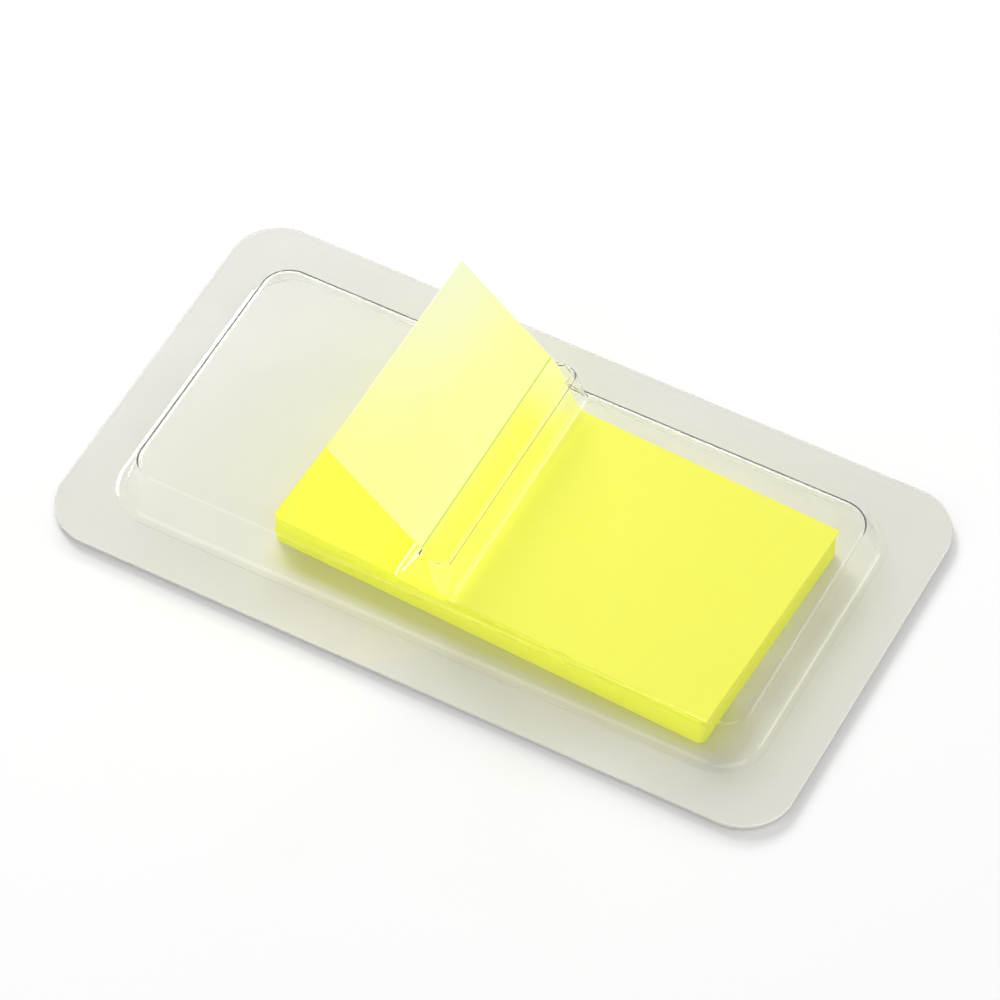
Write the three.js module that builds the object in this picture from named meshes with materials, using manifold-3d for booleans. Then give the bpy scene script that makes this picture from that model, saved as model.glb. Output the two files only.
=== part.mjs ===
// A pop-up dispenser of film index flags. A clear thermoformed blister with a raised cross rib is sealed
// to a flat backing sheet. A pad of flags lies loose inside, and the top flag stands out of the rib's slot.
// Millimetres. X runs along the dispenser, Y across it to the back, and Z up from the table.

import * as THREE from "three";
import { mergeVertices } from "three/addons/utils/BufferGeometryUtils.js";
import Module from "manifold-3d";

const wasm = await Module();
wasm.setup();

// The flags and their pad
const flagLength = 45;
const flagWidth = 25;
const flagFilm = 0.12;
const padThickness = 3.4;
const padLeaves = 12;
const padCentre = new THREE.Vector2(6.25, -0.3);
const padTurn = THREE.MathUtils.degToRad(-1.6);
const leafShift = new THREE.Vector2(0.55, -0.35);
const flagCorner = 0.4;
const leafOverlap = 0.2;

// The sheet materials
const shellWall = 0.3;
const backingThickness = 0.3;

// The blister's dome round the pad, which the trimmed flange leaves a little off centre
const domeMiddle = new THREE.Vector2(-0.2, -0.15);
const domeEndRoom = 10.6;
const domeSideRoom = 3.5;
const domeHeadRoom = 0.38;
const domeEndDraft = 1.4;
const domeSideDraft = 1.9;
const domeBaseCorner = 4.2;
const domeTopCorner = 2.8;
const domeFootRadius = 0.9;
const domeEdgeRadius = 0.6;

// The flange round the dome, which is sealed to the backing
const flangeBorder = 5;
const flangeCorner = 5;

// The cross rib on the dome and the slot along its top
const ribRise = 3.5;
const ribFootLeft = -3.85;
const ribFootRight = 1.95;
const ribFootCorner = 0.9;
const ribFootRadius = 0.7;
const ribEndFootRadius = 0.1;
const ribEdgeRadius = 0.5;
const slotMiddle = new THREE.Vector2(-0.52, 0.2);
const slotWidth = 2.1;
const slotEndRoom = 0.42;
const lipMargin = 0.45;

// The raised flag's path through the slot
const flagReach = 13.68;
const flagAngle = THREE.MathUtils.degToRad(42.7);
const flagTurn = THREE.MathUtils.degToRad(-0.4);
const flagSideShift = -0.15;
const lipClearance = 0.42;
const flagBendInset = 0.95;
const flagBendRadius = 2;
const flagCrestRadius = 3;

// Smoothness of the curved surfaces, and how close two points are merged
const cornerSteps = 8;
const filletSteps = 4;
const bendSteps = 6;
const mergeDistance = 1e-5;

// Sizes that follow from the ones above
const domeHalfLength = flagLength / 2 + domeEndRoom;
const domeHalfWidth = flagWidth / 2 + domeSideRoom;
const flangeHalfLength = domeHalfLength + flangeBorder;
const flangeHalfWidth = domeHalfWidth + flangeBorder;
const flangeTop = backingThickness + shellWall;
const padTop = backingThickness + padThickness;
const domeRise = padThickness + flagFilm + domeHeadRoom;
const domeTop = flangeTop + domeRise;
const lipTop = domeTop + ribRise;
const slotHalfLength = flagWidth / 2 + slotEndRoom;
const slotHalfWidth = slotWidth / 2;

// Clear film, milky backing film and two tones of yellow flag film
const finishes = {
  clearFilm: { color: 0xe6e8e4, roughness: 0.12, metalness: 0, transparent: true, opacity: 0.35 },
  milkyFilm: { color: 0xe4e3dc, roughness: 0.45, metalness: 0 },
  padFilm: { color: 0xf4f24a, roughness: 0.5, metalness: 0 },
  flagFilm: { color: 0xfbfa8e, roughness: 0.45, metalness: 0 },
};

// A ring of a rounded rectangle, anticlockwise from the +X side. Each side has its place and its height,
// and the height changes evenly round the corner between two sides.
function roundedRing(right, back, left, front, corner) {
  const quarters = [
    { from: right, to: back, x: right.at - corner, y: back.at - corner },
    { from: back, to: left, x: left.at + corner, y: back.at - corner },
    { from: left, to: front, x: left.at + corner, y: front.at + corner },
    { from: front, to: right, x: right.at - corner, y: front.at + corner },
  ];
  return quarters.flatMap((quarter, turn) =>
    Array.from({ length: cornerSteps + 1 }, (_, step) => {
      const share = step / cornerSteps;
      const angle = ((turn + share) * Math.PI) / 2;
      return new THREE.Vector3(
        quarter.x + corner * Math.cos(angle),
        quarter.y + corner * Math.sin(angle),
        THREE.MathUtils.lerp(quarter.from.z, quarter.to.z, share),
      );
    }),
  );
}

// A flat ring centred on the origin
function flatRing(halfLength, halfWidth, corner, z) {
  const side = (at) => ({ at, z });
  return roundedRing(side(halfLength), side(halfWidth), side(-halfLength), side(-halfWidth), corner);
}

// A closed solid through a stack of rings of equal count, with its bottom and top closed by fans
function loft(rings) {
  const count = rings[0].length;
  const positions = rings.flat().flatMap((p) => [p.x, p.y, p.z]);
  const index = [];
  for (let level = 0; level < rings.length - 1; level += 1) {
    for (let i = 0; i < count; i += 1) {
      const a = level * count + i;
      const b = level * count + ((i + 1) % count);
      index.push(a, b, b + count, a, b + count, a + count);
    }
  }
  for (const [level, flip] of [[0, true], [rings.length - 1, false]]) {
    const middle = rings[level].reduce((sum, p) => sum.add(p), new THREE.Vector3());
    middle.divideScalar(count);
    const hub = positions.length / 3;
    positions.push(middle.x, middle.y, middle.z);
    for (let i = 0; i < count; i += 1) {
      const a = level * count + i;
      const b = level * count + ((i + 1) % count);
      index.push(hub, flip ? b : a, flip ? a : b);
    }
  }
  const geometry = new THREE.BufferGeometry();
  geometry.setAttribute("position", new THREE.Float32BufferAttribute(positions, 3));
  geometry.setIndex(index);
  return geometry;
}

// A closed geometry as a solid for joins and cuts
function solid(geometry) {
  geometry.deleteAttribute("normal");
  geometry.deleteAttribute("uv");
  const merged = mergeVertices(geometry, mergeDistance);
  return new wasm.Manifold(
    new wasm.Mesh({
      numProp: 3,
      vertProperties: new Float32Array(merged.attributes.position.array),
      triVerts: new Uint32Array(merged.index.array),
    }),
  );
}

// A solid back as a geometry
function geometryOf(manifold) {
  const mesh = manifold.getMesh();
  const geometry = new THREE.BufferGeometry();
  geometry.setAttribute("position", new THREE.BufferAttribute(mesh.vertProperties, 3));
  geometry.setIndex(new THREE.BufferAttribute(mesh.triVerts, 1));
  geometry.computeVertexNormals();
  return geometry;
}

// The section of a formed wall: a foot fillet, a drafted wall and an edge fillet. Each point is how far it
// lies outside the sharp foot line, how high it is, and how far its fillet curls it away from the straight
// wall. An inset gives the wall's inner face, with each fillet round the same centre.
function wallSection(draft, rise, footRadius, edgeRadius, inset) {
  const lean = Math.atan2(draft, rise);
  const spread = Math.tan((Math.PI / 2 + lean) / 2);
  const fillet = (out, up, radius, from, to) =>
    Array.from({ length: filletSteps + 1 }, (_, step) => {
      const angle = THREE.MathUtils.lerp(from, to, step / filletSteps);
      return { out: out + radius * Math.cos(angle), up: up + radius * Math.sin(angle) };
    });
  const foot = { out: footRadius / spread, up: footRadius };
  const edge = { out: -draft - edgeRadius / spread, up: rise - edgeRadius };
  const points = [
    ...fillet(foot.out, foot.up, footRadius + inset, 1.5 * Math.PI, Math.PI + lean),
    ...fillet(edge.out, edge.up, edgeRadius - inset, lean, Math.PI / 2),
  ];
  const flank = (up) => -up * Math.tan(lean) - inset / Math.cos(lean);
  return points.map((point) => ({ ...point, curl: point.out - flank(point.up) }));
}

// How far an edge fillet reaches in from the sharp edge
function edgeReach(draft, rise, radius) {
  return radius / Math.tan((Math.PI / 2 + Math.atan2(draft, rise)) / 2);
}

// A block with four formed walls, in the order right, back, left and front. It starts a little below its
// base, inside what it stands on. With an inset it is the hollow under the film.
function formedBlock(block, inset) {
  const sections = block.sides.map((side) =>
    wallSection(side.draft, block.rise, side.footRadius, block.edgeRadius, inset),
  );
  const ring = (level, sink) => {
    const share = THREE.MathUtils.clamp(sections[0][level].up / block.rise, 0, 1);
    const curl = sections.reduce((sum, section) => sum + section[level].curl, 0) / sections.length;
    const corner = THREE.MathUtils.lerp(block.footCorner, block.topCorner, share) - inset + curl;
    const places = block.sides.map((side, i) => ({
      at: side.at + side.facing * sections[i][level].out,
      z: block.base + sections[i][level].up - sink,
    }));
    const [right, back, left, front] = places.map((place) => place.at);
    return roundedRing(...places, Math.min(corner, (right - left) / 2, (back - front) / 2));
  };
  const levels = sections[0].map((_, level) => ring(level, 0));
  return solid(loft([ring(0, block.sink), ...levels]));
}

// The dome stands in the middle of the flange
const dome = {
  base: flangeTop,
  rise: domeRise,
  sink: shellWall / 2,
  edgeRadius: domeEdgeRadius,
  footCorner: domeBaseCorner,
  topCorner: domeTopCorner,
  sides: [
    { at: domeMiddle.x + domeHalfLength, facing: 1, draft: domeEndDraft, footRadius: domeFootRadius },
    { at: domeMiddle.y + domeHalfWidth, facing: 1, draft: domeSideDraft, footRadius: domeFootRadius },
    { at: domeMiddle.x - domeHalfLength, facing: -1, draft: domeEndDraft, footRadius: domeFootRadius },
    { at: domeMiddle.y - domeHalfWidth, facing: -1, draft: domeSideDraft, footRadius: domeFootRadius },
  ],
};

// The rib crosses the dome's flat top from edge to edge, and leans in to the rim round its slot
const rimRight = slotMiddle.x + slotHalfWidth + lipMargin;
const rimLeft = slotMiddle.x - slotHalfWidth - lipMargin;
const rimBack = slotMiddle.y + slotHalfLength + lipMargin;
const rimFront = slotMiddle.y - slotHalfLength - lipMargin;
const flatTopInset = domeSideDraft + edgeReach(domeSideDraft, domeRise, domeEdgeRadius);
const ribBack = Math.max(domeMiddle.y + domeHalfWidth - flatTopInset, rimBack);
const ribFront = Math.min(domeMiddle.y - domeHalfWidth + flatTopInset, rimFront);
const rib = {
  base: domeTop,
  rise: ribRise,
  sink: domeRise / 4,
  edgeRadius: ribEdgeRadius,
  footCorner: ribFootCorner,
  topCorner: slotHalfWidth + lipMargin,
  sides: [
    { at: ribFootRight, facing: 1, draft: ribFootRight - rimRight, footRadius: ribFootRadius },
    { at: ribBack, facing: 1, draft: ribBack - rimBack, footRadius: ribEndFootRadius },
    { at: ribFootLeft, facing: -1, draft: rimLeft - ribFootLeft, footRadius: ribFootRadius },
    { at: ribFront, facing: -1, draft: rimFront - ribFront, footRadius: ribEndFootRadius },
  ],
};

// The blister is one film: flange, dome and rib formed together, hollow below, with the slot cut through
function blisterShell() {
  const flangeRings = [backingThickness, flangeTop].map((z) =>
    flatRing(flangeHalfLength, flangeHalfWidth, flangeCorner, z),
  );
  const slotRings = [domeTop, lipTop + shellWall].map((z) =>
    flatRing(slotHalfWidth, slotHalfLength, slotHalfWidth, z),
  );
  const slot = loft(slotRings).translate(slotMiddle.x, slotMiddle.y, 0);
  return solid(loft(flangeRings))
    .add(formedBlock(dome, 0))
    .add(formedBlock(rib, 0))
    .subtract(formedBlock(dome, shellWall))
    .subtract(formedBlock(rib, shellWall))
    .subtract(solid(slot));
}

// The backing is a flat sheet with the flange's outline
function backingSheet() {
  const rings = [0, backingThickness].map((z) =>
    flatRing(flangeHalfLength, flangeHalfWidth, flangeCorner, z),
  );
  return solid(loft(rings));
}

// The pad is flags stuck head to tail, so every other leaf lies a little to the right and to the front.
// Each leaf reaches a little into the next, so that the stack is one solid.
function flagPad() {
  const leafThickness = padThickness / padLeaves;
  const leaves = Array.from({ length: padLeaves }, (_, i) => {
    const side = i % 2 === 0 ? 1 : -1;
    const bottom = backingThickness + i * leafThickness;
    const top = i === padLeaves - 1 ? padTop : bottom + leafThickness * (1 + leafOverlap);
    const rings = [bottom, top].map((z) => flatRing(flagLength / 2, flagWidth / 2, flagCorner, z));
    const leaf = loft(rings);
    leaf.rotateZ(padTurn);
    leaf.translate(padCentre.x + side * leafShift.x, padCentre.y + side * leafShift.y, 0);
    return solid(leaf);
  });
  return leaves.reduce((pad, leaf) => pad.add(leaf));
}

// A path through corner points, with each inner corner rounded to its own radius
function roundedPath(corners, radii) {
  const path = [corners[0].clone()];
  for (let i = 1; i < corners.length - 1; i += 1) {
    const before = corners[i].clone().sub(corners[i - 1]).normalize();
    const after = corners[i + 1].clone().sub(corners[i]).normalize();
    const turn = Math.atan2(before.cross(after), before.dot(after));
    const reach = radii[i - 1] * Math.tan(Math.abs(turn) / 2);
    const start = corners[i].clone().addScaledVector(before, -reach);
    const hand = new THREE.Vector2(-before.y, before.x).multiplyScalar(Math.sign(turn));
    const centre = start.clone().addScaledVector(hand, radii[i - 1]);
    for (let step = 0; step <= bendSteps; step += 1) {
      path.push(start.clone().rotateAround(centre, (turn * step) / bendSteps));
    }
  }
  path.push(corners[corners.length - 1].clone());
  return path;
}

// The outline of a film of even thickness whose middle line is the given path
function filmOutline(path, thickness) {
  const edge = (side) =>
    path.map((point, i) => {
      const before = path[Math.max(i - 1, 0)];
      const after = path[Math.min(i + 1, path.length - 1)];
      const along = after.clone().sub(before).normalize();
      return new THREE.Vector2(-along.y, along.x).multiplyScalar((side * thickness) / 2).add(point);
    });
  return new THREE.Shape([...edge(1), ...edge(-1).reverse()]);
}

// The raised flag lies on the pad, bends up inside the rib, passes the slot's left lip and stands out.
// Its film twists a little on the way, from the pad's turn to its own.
function raisedFlag() {
  const lie = padTop + flagFilm / 2;
  const standOff = new THREE.Vector2(Math.sin(flagAngle), Math.cos(flagAngle));
  const outward = new THREE.Vector2(-Math.cos(flagAngle), Math.sin(flagAngle));
  const crest = new THREE.Vector2(slotMiddle.x - slotHalfWidth, lipTop);
  crest.addScaledVector(standOff, lipClearance + flagFilm / 2);
  const bend = new THREE.Vector2(ribFootRight - flagBendInset, lie);
  const tip = crest.clone().addScaledVector(outward, flagReach);
  const lyingLength = flagLength - flagReach - bend.distanceTo(crest);
  const tail = new THREE.Vector2(bend.x + lyingLength, lie);
  const path = roundedPath([tail, bend, crest, tip], [flagBendRadius, flagCrestRadius]);
  const film = new THREE.ExtrudeGeometry(filmOutline(path, flagFilm), {
    depth: flagWidth,
    bevelEnabled: false,
  });
  film.rotateX(Math.PI / 2);
  film.translate(0, flagWidth / 2, 0);
  const places = film.getAttribute("position");
  const centre = new THREE.Vector3(slotMiddle.x, slotMiddle.y + flagSideShift, 0);
  const up = new THREE.Vector3(0, 0, 1);
  for (let i = 0; i < places.count; i += 1) {
    const place = new THREE.Vector3().fromBufferAttribute(places, i);
    const twist = THREE.MathUtils.smoothstep(-place.x, -bend.x, -crest.x);
    place.x -= centre.x;
    place.applyAxisAngle(up, THREE.MathUtils.lerp(padTurn, flagTurn, twist)).add(centre);
    places.setXYZ(i, place.x, place.y, place.z);
  }
  return solid(film);
}

// Each piece is one named mesh with its own finish
function piece(name, manifold, finish) {
  const mesh = new THREE.Mesh(geometryOf(manifold), new THREE.MeshStandardMaterial(finish));
  mesh.name = name;
  return mesh;
}

const packaging = new THREE.Group();
packaging.add(piece("backing_sheet", backingSheet(), finishes.milkyFilm));
packaging.add(piece("blister_shell", blisterShell(), finishes.clearFilm));

const flags = new THREE.Group();
flags.add(piece("flag_pad", flagPad(), finishes.padFilm));
flags.add(piece("raised_flag", raisedFlag(), finishes.flagFilm));

const dispenser = new THREE.Group();
dispenser.add(packaging, flags);

export default dispenser;
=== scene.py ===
"""A pop-up dispenser of film index flags, dressed for its picture.

A clear formed blister with a cross rib and a slot is sealed to a milky backing film. A pad of yellow flags
lies loose inside it, and the top flag stands out of the slot. Sizes in the classes are in millimetres, and
are turned to metres where a mesh is made.
"""

import logging
import math
import random
from collections.abc import Callable, Sequence
from dataclasses import dataclass, field
from enum import Enum

import bmesh
import bpy
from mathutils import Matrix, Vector


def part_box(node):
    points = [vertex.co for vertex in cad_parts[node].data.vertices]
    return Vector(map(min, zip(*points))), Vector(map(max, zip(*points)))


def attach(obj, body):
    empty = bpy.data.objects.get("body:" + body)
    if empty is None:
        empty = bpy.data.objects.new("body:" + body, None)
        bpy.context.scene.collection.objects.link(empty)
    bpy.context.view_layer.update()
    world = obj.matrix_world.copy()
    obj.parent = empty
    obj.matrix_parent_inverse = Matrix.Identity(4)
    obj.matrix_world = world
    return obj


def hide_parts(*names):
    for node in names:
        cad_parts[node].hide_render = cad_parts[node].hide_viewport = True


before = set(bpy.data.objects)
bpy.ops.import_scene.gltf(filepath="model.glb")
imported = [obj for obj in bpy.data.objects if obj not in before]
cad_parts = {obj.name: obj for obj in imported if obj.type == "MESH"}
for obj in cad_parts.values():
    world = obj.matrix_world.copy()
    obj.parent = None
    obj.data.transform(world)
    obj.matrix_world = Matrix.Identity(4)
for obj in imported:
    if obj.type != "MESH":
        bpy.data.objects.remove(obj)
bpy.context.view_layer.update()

MM = 0.001
TOUCH = 1e-7
FULL_ROUND = 0.995
BODY = "root"
SHARP_EDGE = 30.0
FILM_SHARP_EDGE = 40.0
LOG = logging.getLogger("flag_dispenser")
SMUDGE_DETAIL = 4.0
SMUDGE_START = 0.48
SMUDGE_FULL = 0.72
RIPPLE_DETAIL = 1.5

Colour = tuple[float, float, float]
Span = tuple[float, float]
BLACK: Colour = (0.0, 0.0, 0.0)
PAD_YELLOW: Colour = (0.99, 0.99, 0.04)


class Join(Enum):
    """How one closed block changes another."""

    ADD = "UNION"
    CUT = "DIFFERENCE"


class Side(Enum):
    """The four sides of a rounded rectangle."""

    RIGHT = 0
    BACK = 1
    LEFT = 2
    FRONT = 3


def millimetres(node: str) -> tuple[Vector, Vector]:
    """Give a CAD node's box in millimetres.

    Args:
        node: The CAD node's name.

    Returns:
        The lowest and the highest corner.
    """
    low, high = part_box(node)
    return Vector(low) / MM, Vector(high) / MM


# Modelling helpers


def clear_selection() -> None:
    """Leave edit mode and deselect every object."""
    if bpy.context.mode != "OBJECT":
        bpy.ops.object.mode_set(mode="OBJECT")
    bpy.ops.object.select_all(action="DESELECT")


def activate(piece: bpy.types.Object) -> None:
    """Make one object the only selected one and the active one.

    Args:
        piece: The object to work on.
    """
    clear_selection()
    piece.select_set(True)
    bpy.context.view_layer.objects.active = piece


def edit(piece: bpy.types.Object, select_mode: str = "EDGE") -> None:
    """Enter edit mode on one object with nothing selected in it.

    Args:
        piece: The object to edit.
        select_mode: VERT, EDGE or FACE.
    """
    activate(piece)
    bpy.ops.object.mode_set(mode="EDIT")
    bpy.ops.mesh.select_mode(type=select_mode)
    bpy.ops.mesh.select_all(action="DESELECT")


def select_edges(piece: bpy.types.Object, wanted: Callable[[bmesh.types.BMEdge], bool]) -> None:
    """Select the edges that a test picks, in edit mode.

    Args:
        piece: The object in edit mode.
        wanted: The test of one edge.
    """
    bpy.ops.mesh.select_mode(type="EDGE")
    bpy.ops.mesh.select_all(action="DESELECT")
    mesh = bmesh.from_edit_mesh(piece.data)
    for edge in mesh.edges:
        if wanted(edge):
            edge.select_set(True)
    bmesh.update_edit_mesh(piece.data)


def level_at(edge: bmesh.types.BMEdge, heights: Sequence[float]) -> bool:
    """Tell whether an edge lies level at one of the heights.

    Args:
        edge: The edge.
        heights: Heights in metres.

    Returns:
        True where both ends lie at one height of the list.
    """
    return any(all(abs(v.co.z - height) < TOUCH for v in edge.verts) for height in heights)


def apply_modifier(piece: bpy.types.Object, kind: str, **settings: object) -> None:
    """Add a modifier to a piece and apply it.

    Args:
        piece: The object.
        kind: The modifier's type.
        **settings: The modifier's properties.
    """
    activate(piece)
    modifier = piece.modifiers.new(kind.lower(), kind)
    for name, value in settings.items():
        setattr(modifier, name, value)
    bpy.ops.object.modifier_apply(modifier=modifier.name)


def combine(target: bpy.types.Object, tool: bpy.types.Object, how: Join) -> None:
    """Join a closed block to another one or cut it out of it, and remove it.

    Args:
        target: The block that stays.
        tool: The block that is used up.
        how: Add or cut.
    """
    apply_modifier(target, "BOOLEAN", object=tool, operation=how.value, solver="EXACT")
    bpy.data.objects.remove(tool, do_unlink=True)


def smooth(piece: bpy.types.Object, degrees: float) -> None:
    """Shade a piece smooth below an angle, with its flat faces kept flat.

    Args:
        piece: The object.
        degrees: Edges that turn more than this stay sharp.
    """
    activate(piece)
    bpy.ops.object.shade_smooth_by_angle(angle=math.radians(degrees))
    apply_modifier(piece, "WEIGHTED_NORMAL", mode="FACE_AREA", weight=90, keep_sharp=True)


def place(piece: bpy.types.Object, name: str, node: str, finish: bpy.types.Material) -> None:
    """Name a finished piece, dress it and tie it to the frame.

    Args:
        piece: The finished object.
        name: Its name.
        node: The CAD node that it stands for.
        finish: Its material.
    """
    clear_selection()
    piece.name = name
    piece.data.name = name
    piece.data.materials.clear()
    piece.data.materials.append(finish)
    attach(piece, BODY)
    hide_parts(node)
    LOG.info("%s: %d faces, stands for %s", name, len(piece.data.polygons), node)


@dataclass(frozen=True)
class Section:
    """A level rounded rectangle, one section of a formed block."""

    right: float
    back: float
    left: float
    front: float
    corner: float
    height: float

    def add(self, segments: int) -> None:
        """Add the section in edit mode as a plane with rounded corners, and leave it selected.

        Args:
            segments: Edges round each corner.
        """
        centre = Vector((self.right + self.left, self.back + self.front, 2 * self.height)) * MM / 2
        size = ((self.right - self.left) * MM, (self.back - self.front) * MM, 1)
        bpy.ops.mesh.primitive_plane_add(size=1, location=centre)
        bpy.ops.transform.resize(value=size, center_override=centre)
        bpy.ops.mesh.bevel(
            offset=self.corner * MM,
            offset_type="OFFSET",
            segments=segments,
            affect="VERTICES",
            clamp_overlap=False,
        )


def loft(name: str, sections: Sequence[Section], segments: int) -> bpy.types.Object:
    """Make a closed block by bridging one level section to the next.

    Args:
        name: The block's name.
        sections: The sections from the lowest to the highest.
        segments: Edges round each corner.

    Returns:
        The closed block.
    """
    clear_selection()
    mesh = bpy.data.meshes.new(name)
    block = bpy.data.objects.new(name, mesh)
    bpy.context.scene.collection.objects.link(block)
    edit(block, "VERT")
    for number, section in enumerate(sections):
        bpy.ops.mesh.select_mode(type="VERT")
        section.add(segments)
        bpy.ops.mesh.delete(type="ONLY_FACE")
        if number:
            heights = (sections[number - 1].height * MM, section.height * MM)
            select_edges(block, lambda edge: level_at(edge, heights) and len(edge.link_faces) < 2)
            bpy.ops.mesh.bridge_edge_loops()
    for end in (sections[0], sections[-1]):
        select_edges(block, lambda edge: level_at(edge, (end.height * MM,)))
        bpy.ops.mesh.edge_face_add()
    bpy.ops.mesh.select_all(action="SELECT")
    bpy.ops.mesh.normals_make_consistent(inside=False)
    clear_selection()
    return block


# The blister


@dataclass(frozen=True)
class Wall:
    """One formed wall's section: a foot fillet, a drafted wall and an edge fillet."""

    draft: float
    rise: float
    foot_radius: float
    edge_radius: float

    @property
    def lean(self) -> float:
        """Give the wall's angle from upright, in radians."""
        return math.atan2(self.draft, self.rise)

    @property
    def spread(self) -> float:
        """Give a fillet's radius over its reach along either face."""
        return math.tan((math.pi / 2 + self.lean) / 2)

    def heights(self, steps: int, inset: float) -> list[float]:
        """List the heights at which sections follow the two fillets evenly.

        Args:
            steps: Steps round each fillet.
            inset: How far the face lies inside the outer one.

        Returns:
            Heights over the foot, from low to high.
        """
        foot = self.foot_radius + inset
        edge = self.edge_radius - inset
        turn = math.pi / 2 - self.lean
        low = [self.foot_radius - foot * math.cos(turn * i / steps) for i in range(steps + 1)]
        crown = self.rise - self.edge_radius
        high = [crown + edge * math.sin(self.lean + turn * i / steps) for i in range(steps + 1)]
        return low + high

    def flank(self, up: float, inset: float) -> float:
        """Tell how far the straight drafted wall would lie outside the sharp foot line at a height.

        Args:
            up: The height over the foot.
            inset: How far the face lies inside the outer one.

        Returns:
            The distance, which is negative inside the foot line.
        """
        return -up * math.tan(self.lean) - inset / math.cos(self.lean)

    def out(self, up: float, inset: float) -> float:
        """Tell how far the face lies outside the sharp foot line at a height.

        Args:
            up: The height over the foot.
            inset: How far the face lies inside the outer one.

        Returns:
            The distance, which is negative inside the foot line.
        """
        foot = self.foot_radius + inset
        edge = self.edge_radius - inset
        below = self.foot_radius - up
        above = up - (self.rise - self.edge_radius)
        if below > foot * math.sin(self.lean):
            return self.foot_radius / self.spread - math.sqrt(max(foot**2 - below**2, 0))
        if above > edge * math.sin(self.lean):
            centre = -self.draft - self.edge_radius / self.spread
            return centre + math.sqrt(max(edge**2 - above**2, 0))
        return self.flank(up, inset)


@dataclass(frozen=True)
class FormedBlock:
    """A block with four formed walls, such as the dome or the rib."""

    base: float
    rise: float
    sink: float
    foot_corner: float
    top_corner: float
    lines: dict[Side, float]
    walls: dict[Side, Wall]

    def section(self, up: float, inset: float) -> Section:
        """Give the block's section at a height over its base.

        Args:
            up: The height over the base.
            inset: How far the face lies inside the outer one.

        Returns:
            The level section.
        """
        share = min(max(up / self.rise, 0), 1)
        out = {side: wall.out(up, inset) for side, wall in self.walls.items()}
        curl = sum(out[side] - wall.flank(up, inset) for side, wall in self.walls.items()) / len(Side)
        right = self.lines[Side.RIGHT] + out[Side.RIGHT]
        back = self.lines[Side.BACK] + out[Side.BACK]
        left = self.lines[Side.LEFT] - out[Side.LEFT]
        front = self.lines[Side.FRONT] - out[Side.FRONT]
        corner = self.foot_corner + (self.top_corner - self.foot_corner) * share - inset + curl
        roundest = FULL_ROUND * min(right - left, back - front) / 2
        return Section(right, back, left, front, min(corner, roundest), self.base + up)

    def build(self, name: str, inset: float, fillet_steps: int, segments: int) -> bpy.types.Object:
        """Make the block, or with an inset the hollow under its film.

        Args:
            name: The block's name.
            inset: The film's thickness for the hollow, or 0.
            fillet_steps: Steps round each fillet.
            segments: Edges round each corner.

        Returns:
            The closed block.
        """
        heights = self.walls[Side.RIGHT].heights(fillet_steps, inset)
        sections = [self.section(up, inset) for up in heights]
        lowest = sections[0]
        foot = Section(
            lowest.right, lowest.back, lowest.left, lowest.front, lowest.corner, lowest.height - self.sink
        )
        return loft(name, [foot, *sections], segments)


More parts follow.
